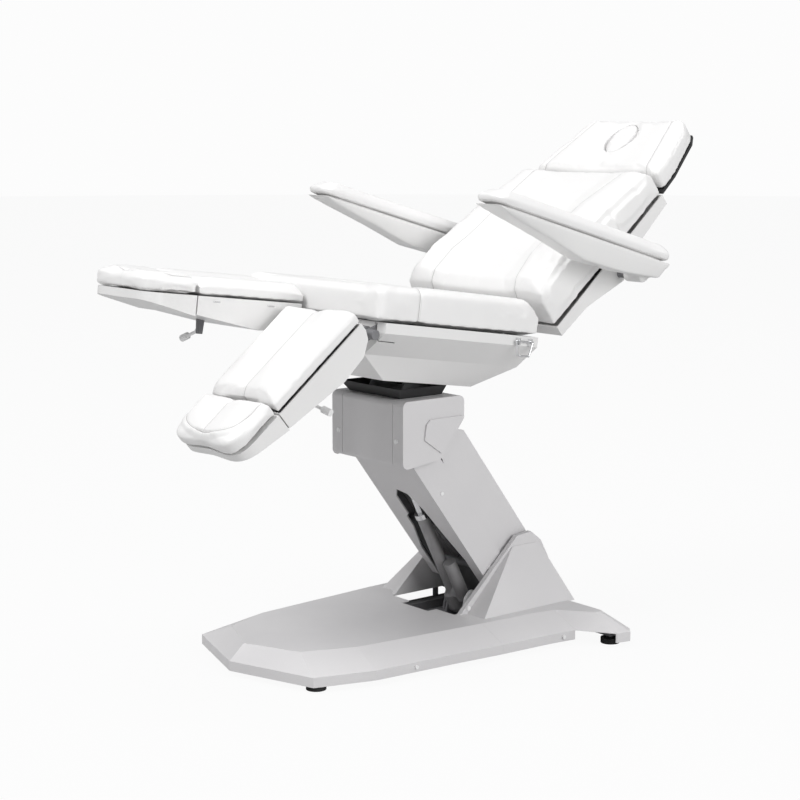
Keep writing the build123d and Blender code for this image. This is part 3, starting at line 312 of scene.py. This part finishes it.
# %% Mesh helpers
def vectors(mesh, field="co"):
    """A mesh's points, or another field of them, as rows of x, y and z."""
    values = np.empty(len(mesh.vertices) * 3)
    mesh.vertices.foreach_get(field, values)
    return values.reshape(-1, 3)


def points_of(thing):
    return vectors(thing.data)


def set_points(thing, points):
    thing.data.vertices.foreach_set("co", points.astype(np.float32).ravel())
    thing.data.update()


def draw_in(thing, depth):
    """Move each point inwards, by one depth or by a column of them."""
    set_points(thing, points_of(thing) - vectors(thing.data, "normal") * depth)


def evaluated(thing):
    return thing.evaluated_get(bpy.context.evaluated_depsgraph_get())


def frozen(thing):
    """Swap a thing's mesh for the one its modifiers make."""
    bpy.context.view_layer.update()
    made = bpy.data.meshes.new_from_object(evaluated(thing))
    thing.modifiers.clear()
    thing.data = made
    return thing


def calm(thing, times):
    """Add a modifier that evens out small bumps."""
    even = thing.modifiers.new("calm", "SMOOTH")
    even.factor, even.iterations = 0.5, times


def ramp(value, low, high):
    """0 below low, 1 above high, and a soft step between them, as fade is for a shader."""
    share = np.clip((value - low) / (high - low), 0, 1)
    return share * share * (3 - 2 * share)


# %% Copy a solid on an even grid
WELD = 1e-5    # metres; the solid's faces share no points, so points nearer than this become one


def regrid(source, name, cell, smooth=6):
    """A copy of a solid on an even grid, calmed a little. The grid drops what the solid's mesh stored."""
    welded = bmesh.new()
    welded.from_mesh(source.data)
    bmesh.ops.remove_doubles(welded, verts=welded.verts, dist=WELD)
    mesh = bpy.data.meshes.new(name)
    welded.to_mesh(mesh)
    welded.free()
    thing = bpy.data.objects.new(name, mesh)
    scene.collection.objects.link(thing)
    grid = thing.modifiers.new("grid", "REMESH")
    grid.mode, grid.voxel_size = "VOXEL", cell
    calm(thing, smooth)
    return frozen(thing)


def refine(thing):
    finer = thing.modifiers.new("finer", "SUBSURF")
    finer.levels = finer.render_levels = 1
    return frozen(thing)


# %% Blow it up as cloth
SWELL_FRAMES = 20


def swell(thing, pressure, cap):
    """Blow the mesh up as cloth, and let no point travel further than cap."""
    start = points_of(thing)
    cloth = thing.modifiers.new("cloth", "CLOTH")
    cloth.settings.use_pressure = True
    cloth.settings.uniform_pressure_force = pressure
    cloth.settings.effector_weights.gravity = 0.0
    cloth.point_cache.frame_start, cloth.point_cache.frame_end = 1, SWELL_FRAMES
    for number in range(1, SWELL_FRAMES + 1):
        scene.frame_set(number)
    move = vectors(evaluated(thing).data) - start
    thing.modifiers.remove(cloth)
    scene.frame_set(1)
    length = np.linalg.norm(move, axis=1, keepdims=True)
    set_points(thing, start + move * np.minimum(1.0, cap / np.maximum(length, 1e-9)))
    print(thing.name, "swelled by", round(float(length.mean()) * 1000, 1), "mm on average")


# %% Keep it in its place
HAIR = 0.0003          # metres that a side or an underside may stand proud, and rests above its board
SIDE_GAP = 0.0006      # metres by which a cushion's sides and ends stay inside its solid
TOP_FACING = 0.75      # how nearly a face looks up for it to count as the top


def reseat(thing, solid, section):
    """Stretch the swollen form back to the solid's width and length, and set it down on its board."""
    flat, whole = section.flat(points_of(thing)), section.flat(points_of(solid))
    for axis in (0, 1):
        low, high = flat[:, axis].min(), flat[:, axis].max()
        to_low, to_high = whole[:, axis].min() + SIDE_GAP, whole[:, axis].max() - SIDE_GAP
        flat[:, axis] = to_low + (flat[:, axis] - low) * (to_high - to_low) / (high - low)
    low, to_low = flat[:, 2].min(), whole[:, 2].min() + HAIR
    flat[:, 2] -= (low - to_low) * (1 - ramp(flat[:, 2], low + 0.002, low + 0.025))
    set_points(thing, section.placed(flat))


def keep_room(thing, solid, section, crown):
    """Pull back any point outside the solid by more than a hair, or by more than crown on its top."""
    mesh = solid.data
    tree = BVHTree.FromPolygons([v.co[:] for v in mesh.vertices], [p.vertices[:] for p in mesh.polygons])
    points, up = points_of(thing), Vector(section.turn[2])
    for i, row in enumerate(points):
        point = Vector(row)
        hit, normal, _, gap = tree.find_nearest(point)
        room = crown if normal.dot(up) > TOP_FACING else HAIR
        if (point - hit).dot(normal) > 0 and gap > room:
            points[i] = np.array(hit + (point - hit) * (room / gap))
    set_points(thing, points)


def cushion(node, name, section, cell, cap, crown, inset=0.003, pressure=4.0):
    """The soft form of one CAD solid, before its own shaping and seams."""
    thing = regrid(NODES[node], name, cell)
    draw_in(thing, inset)
    swell(thing, pressure, cap)
    reseat(thing, NODES[node], section)
    keep_room(thing, NODES[node], section, crown)
    return refine(thing)


# %% [markdown]
# ## Seams as distances
# A seam is drawn as a few points in the cushion's flat frame. A smooth line goes through them, and every
# point of the mesh gets its signed distance from that line. Near the line the mesh is pulled in, which makes
# the soft valley that a sewn channel has, and the shader draws the crease, with painted shade, and the
# stitches in its bottom.

# %% Seam helpers
NO_SEAM = 1.0    # metres; a distance too large for the shader to draw anything


def smooth_line(points, steps=10):
    """A line through the points that turns smoothly at each of them (Catmull-Rom)."""
    held = np.array([points[0], *points, points[-1]], float)
    last = len(held) - 3
    line = []
    for i in range(1, last + 1):
        a, b, c, d = held[i - 1:i + 3]
        for t in np.linspace(0, 1, steps, endpoint=i == last):
            straight = 2 * b + (c - a) * t
            square = (2 * a - 5 * b + 4 * c - d) * t * t
            cube = (3 * b - a - 3 * c + d) * t ** 3
            line.append(0.5 * (straight + square + cube))
    return np.array(line)


def seam_gap(flat, points):
    """Signed distance of flat points from a seam line, and the run along it."""
    line = smooth_line(points)
    best, run = np.full(len(flat), np.inf), np.zeros(len(flat))
    travelled = 0.0
    for start, end in zip(line[:-1], line[1:]):
        step = end - start
        length = np.linalg.norm(step)
        share = np.clip(((flat - start) @ step) / length ** 2, 0, 1)
        off = flat - (start + share[:, None] * step)
        side = step[0] * (flat[:, 1] - start[1]) - step[1] * (flat[:, 0] - start[0])
        gap = np.linalg.norm(off, axis=1) * np.where(side < 0, -1, 1)
        closer = np.abs(gap) < np.abs(best)
        best[closer], run[closer] = gap[closer], travelled + share[closer] * length
        travelled += length
    return best, run


def joined(first, second):
    """Two seams: both distances, and the run along the nearer one."""
    (gap, run), (other, other_run) = first, second
    return [gap, other], np.where(np.abs(gap) < np.abs(other), run, other_run)


def mirrored(flat, points):
    """A seam and its mirror image on the other side of the chair."""
    return joined(seam_gap(flat[:, :2], points), seam_gap(flat[:, :2] * (-1, 1), points))


def sew(thing, seams, run, depth=0.0016, width=0.004, pull=0.0012, reach=0.018):
    """Pull the mesh in along its seams, and store the distances for the shader."""
    near = np.min(np.abs(np.array(seams)), axis=0)
    drop = depth * np.exp(-(near / width) ** 2) + pull * np.exp(-(near / reach) ** 2)
    draw_in(thing, drop[:, None])
    stored = list(seams) + [np.full(len(near), NO_SEAM)] * (len(SEAM_FIELDS) - len(seams))
    for name, values in zip((*SEAM_FIELDS, SEAM_RUN), (*stored, run)):
        field = thing.data.attributes.new(name, "FLOAT", "POINT")
        field.data.foreach_set("value", values.astype(np.float32))


# %% Hand a piece over
def hand_over(thing, body, node, slot):
    """Finish a piece that stands for one CAD node, and let it ride on its body."""
    for face in thing.data.polygons:
        face.use_smooth = True
    dress(thing, slot)
    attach(thing, body)
    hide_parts(node)
    print(thing.name, len(thing.data.vertices), "points")


def hand_over_soft(thing, body, node):
    hand_over(thing, body, node, "upholstery")


# %% [markdown]
# ## The seat cushion
# The seat is a thick slab with soft upper edges. A raised bolster runs along each side of its rear half and
# dies away towards the front, where the legs pass over it. The middle is a shallow dish. A seam follows the
# inside of each bolster and turns out to the side where the bolster ends.

# %% Seat
DISH_DEPTH, FRONT_DROP = 0.015, 0.006
BOLSTER_SEAM = [(0.178, 0.26), (0.170, 0.10), (0.172, -0.04), (0.200, -0.13), (0.300, -0.165)]
seat = cushion("seat_cushion", "seat_pad", SEAT, 0.006, 0.006, 0.004)
flat = SEAT.flat(points_of(seat))
x, along, up = flat.T
top = ramp(up, 0.03, 0.085)
dish = (1 - ramp(np.abs(x), 0.12, 0.20)) * ramp(along, -0.27, -0.08)
front = (1 - ramp(along, -0.22, -0.10)) * (1 - ramp(np.abs(x), 0.20, 0.30))
flat[:, 2] -= top * (DISH_DEPTH * dish + FRONT_DROP * front)
set_points(seat, SEAT.placed(flat))
sew(seat, *mirrored(flat, BOLSTER_SEAM))
hand_over_soft(seat, "seat", "seat_cushion")

# %% [markdown]
# ## The back cushion
# The back carries the body between two long bolsters. The middle panel is hollowed, most at the small of the
# back, and two curved seams divide it from the bolsters. They draw in at the waist and part again at the
# shoulders.

# %% Back
BACK_LENGTH = 0.535
HIP_HALF, SHOULDER_HALF = 0.276, 0.248
HOLLOW, WAIST_HOLLOW, WAIST_AT, WAIST_SPREAD = 0.008, 0.010, 0.16, 0.14
EDGE_ROLL = 0.010
BACK_TOP = ((0, 0.06), (0.04, 0.106), (0.127, 0.118), (0.35, 0.10), (0.52, 0.07), (BACK_LENGTH, 0.048))
BACK_SEAM = [(0.172, -0.02), (0.160, 0.08), (0.150, 0.20), (0.152, 0.32), (0.166, 0.44), (0.182, 0.56)]
back = cushion("back_cushion", "back_pad", BACK, 0.006, 0.006, 0.003)
flat = BACK.flat(points_of(back))
x, along, up = flat.T
half = HIP_HALF - (HIP_HALF - SHOULDER_HALF) * np.clip(along / BACK_LENGTH, 0, 1)
top = ramp(up - np.interp(along, *zip(*BACK_TOP)), -0.05, -0.01)
middle = 1 - ramp(np.abs(x), 0.11, 0.19)
hollow = HOLLOW + WAIST_HOLLOW * np.exp(-((along - WAIST_AT) / WAIST_SPREAD) ** 2)
roll = EDGE_ROLL * ramp(np.abs(x), half - 0.06, half) ** 2
flat[:, 2] -= top * (hollow * middle + roll)
set_points(back, BACK.placed(flat))
sew(back, *mirrored(flat, BACK_SEAM))
hand_over_soft(back, "backrest", "back_cushion")

# %% [markdown]
# ## The headrest and its plug
# The headrest narrows towards the crown of the head. A seam runs inside each slanted side. Its middle has an
# oval face opening, filled by a padded plug that lifts out, so the plug is its own piece.

# %% Headrest
REST_FROM, REST_LENGTH = 0.547, 0.242
NECK_HALF, CROWN_HALF = 0.240, 0.172
PLUG_AT = 0.697    # the face opening's middle, along the back
REST_SEAM = [(0.204, 0.53), (0.186, 0.61), (0.166, 0.69), (0.148, 0.76), (0.137, 0.80)]
rest = cushion("headrest_cushion", "headrest_pad", BACK, 0.0045, 0.004, 0.002, inset=0.002)
flat = BACK.flat(points_of(rest))
x, along, up = flat.T
half = NECK_HALF - (NECK_HALF - CROWN_HALF) * np.clip((along - REST_FROM) / REST_LENGTH, 0, 1)
top = ramp(up, 0.0, 0.040)
by_plug = np.exp(-((x / 0.075) ** 2 + ((along - PLUG_AT) / 0.095) ** 2))
dip = 0.006 * (1 - ramp(np.abs(x), 0.05, 0.17)) * (1 - by_plug * 0.6)
roll = 0.007 * ramp(np.abs(x), half - 0.035, half) ** 2
flat[:, 2] -= top * (dip + roll)
set_points(rest, BACK.placed(flat))
sew(rest, *mirrored(flat, REST_SEAM), depth=0.0018)
hand_over_soft(rest, "headrest", "headrest_cushion")

# %% Plug
PLUG_HALF_WIDTH, PLUG_HALF_LENGTH = 0.042, 0.062
plug = cushion("headrest_plug", "face_plug", BACK, 0.004, 0.003, 0.002, inset=0.0012)
flat = BACK.flat(points_of(plug))
rim = np.hypot(flat[:, 0] / PLUG_HALF_WIDTH, (flat[:, 1] - PLUG_AT) / PLUG_HALF_LENGTH)
flat[:, 2] -= ramp(flat[:, 2], 0.0, 0.04) * 0.005 * ramp(rim, 0.55, 1.0)
set_points(plug, BACK.placed(flat))
sew(plug, [np.full(len(flat), NO_SEAM)], flat[:, 1])
hand_over_soft(plug, "headrest_plug", "headrest_plug")

# %% [markdown]
# ## The leg rests
# Each leg rest is a long pad with a sewn channel down its middle and a fuller outer half, which keeps the
# leg from rolling off. The foot pad slides out of its end. It is rounded, and its top panel is bordered by a
# seam that follows the outline. The left and right ones are mirror images at different pitches.

# %% Leg pads
MID = 0.1435               # from the chair's middle to the middle of a leg rest
PAD_TOP = (0.065, 0.102)   # heights between which a pad's shaping fades in
OUTER = (MID, MID + 0.07)  # where its fuller outer half rises
CHANNEL = [(MID, 0.02), (MID, -0.10), (MID, -0.22), (MID, -0.35)]


def leg_pad(side, sign, section):
    pad = cushion(f"leg_cushion_{side}", f"leg_pad_{side}", section, 0.005, 0.005, 0.004)
    flat = section.flat(points_of(pad))
    across, along = flat[:, 0] * sign, flat[:, 1]
    inner = 1 - ramp(across, *OUTER)
    edge = ramp(np.abs(across - MID), 0.10, 0.135) ** 2
    ends = ramp(-along, 0.27, 0.322) ** 2 + ramp(along, -0.05, -0.012) ** 2
    flat[:, 2] -= ramp(flat[:, 2], *PAD_TOP) * (0.008 * inner + 0.010 * edge + 0.005 * ends)
    set_points(pad, section.placed(flat))
    gap, run = seam_gap(np.stack((across, along), 1), CHANNEL)
    sew(pad, [gap], run, pull=0.004, reach=0.022)
    hand_over_soft(pad, f"leg_{side}", f"leg_cushion_{side}")


# %% Foot pads
FOOT_HALF = 0.1345         # half the foot pad's width
ROUND_FROM = -0.407        # where its end begins to round off
BORDER_HALF = 0.116        # from its middle to the border seam
FOOT_CHANNEL = [(MID, -0.30), (MID, -0.36), (MID, -0.40), (MID, -0.449)]
BORDER = [(MID - BORDER_HALF, -0.31), (MID - BORDER_HALF, -0.39), (MID - 0.085, -0.43), (MID, -0.449),
          (MID + 0.085, -0.43), (MID + BORDER_HALF, -0.39), (MID + BORDER_HALF, -0.31)]


def foot_pad(side, sign, section):
    tip = cushion(f"foot_cushion_{side}", f"foot_pad_{side}", section, 0.005, 0.005, 0.003)
    flat = section.flat(points_of(tip))
    across, along = flat[:, 0] * sign, flat[:, 1]
    inner = 1 - ramp(across, *OUTER)
    rim = np.hypot((across - MID) / FOOT_HALF, np.minimum(along - ROUND_FROM, 0) / 0.058)
    flat[:, 2] -= ramp(flat[:, 2], *PAD_TOP) * (0.008 * ramp(rim, 0.72, 1.0) ** 2 + 0.005 * inner)
    set_points(tip, section.placed(flat))
    plan = np.stack((across, along), 1)
    sew(tip, *joined(seam_gap(plan, BORDER), seam_gap(plan, FOOT_CHANNEL)), pull=0.002, reach=0.015)
    hand_over_soft(tip, f"foot_{side}", f"foot_cushion_{side}")


# %% Both legs
for side, sign in SIDE.items():
    leg_pad(side, sign, LEG[side])
    foot_pad(side, sign, LEG[side])

# %% [markdown]
# ## The armrests
# An armrest is a padded top on a sculpted white shell. The shell tapers downwards, and its lower edges are
# rounded, which the plain solid doesn't show. It is regridded, drawn in towards its middle as it goes down,
# and calmed. Its pivot boss, on the inner side near the hinge, keeps its width.

# %% Arm pads
ARM_X = 0.345             # from the chair's middle to the middle of an armrest
PIPING = 0.0475           # height of the seam round the pad


def arm_pad(side, sign):
    pad = cushion(f"arm_pad_{side}", f"arm_cushion_{side}", ARM, 0.005, 0.004, 0.003, inset=0.0025)
    flat = ARM.flat(points_of(pad))
    across, along = flat[:, 0] * sign - ARM_X, flat[:, 1]
    edge = 0.009 * ramp(np.abs(across), 0.012, 0.044) ** 2
    hand_end, elbow_end = 0.012 * ramp(-along, 0.54, 0.604) ** 2, 0.006 * ramp(along, 0.01, 0.05) ** 2
    flat[:, 2] -= ramp(flat[:, 2], 0.055, 0.084) * (edge + hand_end + elbow_end)
    set_points(pad, ARM.placed(flat))
    sew(pad, [flat[:, 2] - PIPING], along, depth=0.0012, width=0.003, pull=0.0)
    hand_over_soft(pad, f"armrest_{side}", f"arm_pad_{side}")


# %% Arm shells
SHELL_TOP, SHELL_DEEP = 0.040, 0.044
SHELL_HALF = 0.0445       # half the shell's width; what lies beyond it is the pivot boss
BOSS_KEPT = (0.035, 0.06) # distance from the pivot over which the drawing in begins
SQUEEZE = 0.34            # share of its width that the shell loses at its lowest
BELLY = ((-0.6, 0.044), (-0.533, 0.029), (-0.394, 0.008), (-0.255, -0.017), (-0.109, -0.014),
         (0.024, 0.0), (0.04, 0.03))


def arm_bowl(side, sign):
    shell = regrid(NODES[f"arm_shell_{side}"], f"arm_bowl_{side}", 0.0035, smooth=2)
    flat = ARM.flat(points_of(shell))
    across, along = flat[:, 0] * sign - ARM_X, flat[:, 1]
    belly = np.interp(along, *zip(*BELLY))
    depth = np.clip((SHELL_TOP - flat[:, 2]) / np.maximum(SHELL_DEEP - belly, 0.012), 0, 1)
    squeeze = np.where(np.abs(across) < SHELL_HALF, SQUEEZE * depth ** 1.6, 0)
    squeeze *= np.where(across < 0, ramp(np.abs(along), *BOSS_KEPT), 1)
    flat[:, 0] = (ARM_X + across * (1 - squeeze)) * sign
    set_points(shell, ARM.placed(flat))
    calm(shell, 6)
    hand_over(frozen(shell), f"armrest_{side}", f"arm_shell_{side}", "shell_white")


# %% Both armrests
for side, sign in SIDE.items():
    arm_pad(side, sign)
    arm_bowl(side, sign)

# %% [markdown]
# ## Floor
# A plain pale floor runs to a white surround. A floor lit to white would need lamps that burn out a white
# chair, so it glows white for camera rays alone. Those see a little of the lit paper too, which keeps a
# faint shadow, and every other ray sees mid-grey paper.

# %% Floor
FLOOR_RADIUS = 30.0
GLOW_SHARE = 0.94
floor_mesh = bpy.data.meshes.new("floor")
disc = bmesh.new()
bmesh.ops.create_circle(disc, cap_ends=True, segments=96, radius=FLOOR_RADIUS)
disc.to_mesh(floor_mesh)
disc.free()
floor = bpy.data.objects.new("floor", floor_mesh)
scene.collection.objects.link(floor)
paper = bpy.data.materials.new("paper")
sheet = Graph(paper)
seen = sheet.node("ShaderNodeLightPath", {}, out="Is Camera Ray")
matte = sheet.node("ShaderNodeBsdfDiffuse", {}, Color=(0.5, 0.5, 0.5, 1))
glow = sheet.node("ShaderNodeEmission", {}, Color=(1.0, 1.0, 1.0, 1))
sheet.feed(sheet.surface, sheet.node("ShaderNodeMixShader", {}, seen * GLOW_SHARE, matte, glow))
floor.data.materials.append(paper)

# %% [markdown]
# ## Surround and lamps
# The surround is white to the camera and through clear pieces, and dim to everything else, so the light on
# the chair comes mostly from three broad lamps: one on the chair's right, one overhead and one past its
# feet. They are large and far away, which keeps the shadows soft and the light even.

# %% Surround
world = bpy.data.worlds.new("surround")
scene.world = world
air = Graph(world, "ShaderNodeOutputWorld")
seen = air.node("ShaderNodeLightPath", {}, out="Is Camera Ray")
seen_through = air.node("ShaderNodeLightPath", {}, out="Is Transmission Ray")
dim = air.node("ShaderNodeBackground", {}, Color=(0.98, 0.985, 1.0, 1), Strength=0.38)
white = air.node("ShaderNodeBackground", {}, Color=(0.975, 0.975, 0.975, 1), Strength=1.0)
air.feed(air.surface, air.node("ShaderNodeMixShader", {}, seen.most(seen_through), dim, white))


# %% Lamps
def lamp(name, place, target, size, power):
    """A round lamp that faces its target. size is in metres and power in watts."""
    data = bpy.data.lights.new(name, "AREA")
    data.shape, data.size, data.energy = "DISK", size, power
    thing = bpy.data.objects.new(name, data)
    thing.location = place
    thing.rotation_mode = "QUATERNION"
    thing.rotation_quaternion = (Vector(target) - Vector(place)).to_track_quat("-Z", "Y")
    scene.collection.objects.link(thing)


lamp("right_lamp", (9.0, 1.0, 3.4), (0, 0, 0.6), 6.0, 430)
lamp("overhead_lamp", (0.8, 0.4, 10.0), (0, 0, 0.5), 7.0, 300)
lamp("front_lamp", (-1.0, -6.5, 8.0), (0, 0, 0.5), 5.0, 580)
scene.view_settings.view_transform = "Standard"
